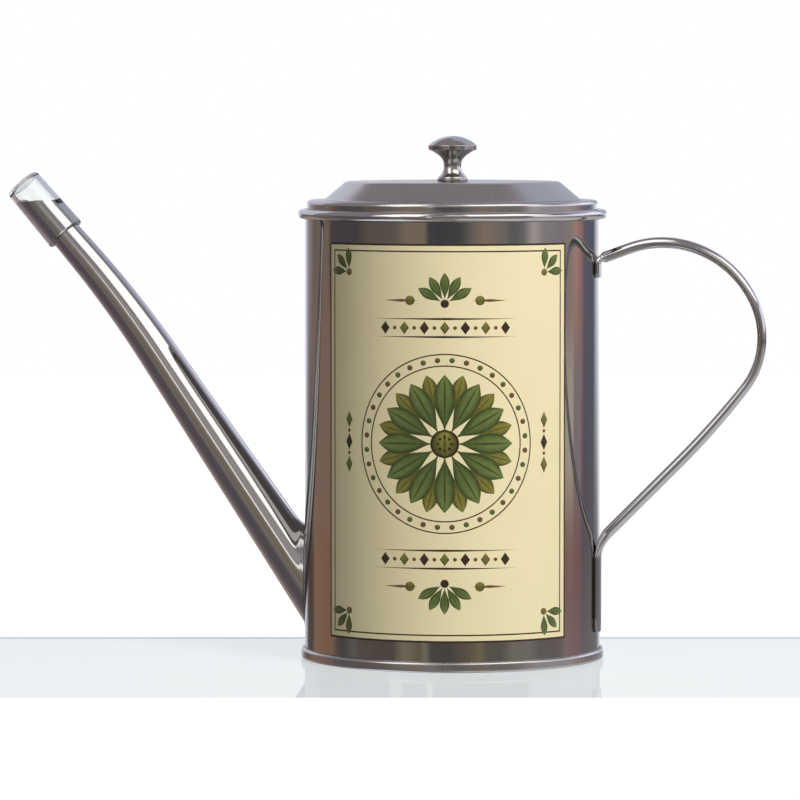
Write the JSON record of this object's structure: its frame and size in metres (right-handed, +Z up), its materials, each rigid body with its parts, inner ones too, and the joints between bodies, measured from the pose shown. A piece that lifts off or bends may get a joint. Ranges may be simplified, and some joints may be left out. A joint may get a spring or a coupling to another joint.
{
  "type": "olive oil tin with spout",
  "caption": "Round stainless oil can with a plug-in lid and knob, long rising spout with clear slip-on cap, bent rod handle and printed front panel.",
  "frame": {"origin": "middle of the foot ring, on the surface that the can stands on, on the body's centre line", "axes": "+Z up along the body, +X towards the handle, -X towards the spout, the printed panel faces about -Y"},
  "size_m": [0.2502, 0.0986, 0.1664],
  "materials": {
    "body_steel": "polished sheet with faint rolling lines",
    "base_steel": "polished rolled edge",
    "spout_steel": "polished tube",
    "handle_steel": "polished rod",
    "lid_steel": "polished pressing",
    "knob_steel": "polished turning",
    "screw_steel": "plain fastener",
    "printed_panel": "cream print with dark border lines and a plain round ornament of green and olive petals",
    "clear_vinyl": "soft clear vinyl"
  },
  "bodies": {
    "tin": {"body_shell": "body_steel", "base_disc": "base_steel", "label_panel": "printed_panel", "spout_tube": "spout_steel", "handle": "handle_steel"},
    "lid": {"lid_cover": "lid_steel", "lid_knob": "knob_steel", "knob_screw": "screw_steel", "knob_washer": "screw_steel"},
    "cap": {"spout_cap": "clear_vinyl"}
  },
  "joints": [
    {"name": "lid_lift", "type": "slide", "parent": "tin", "child": "lid", "axis": [0, 0, 1], "range_m": [0, 0.12]},
    {"name": "cap_pull", "type": "slide", "parent": "tin", "child": "cap", "axis": [-0.6691, 0, 0.7431], "range_m": [0, 0.045]}
  ]
}
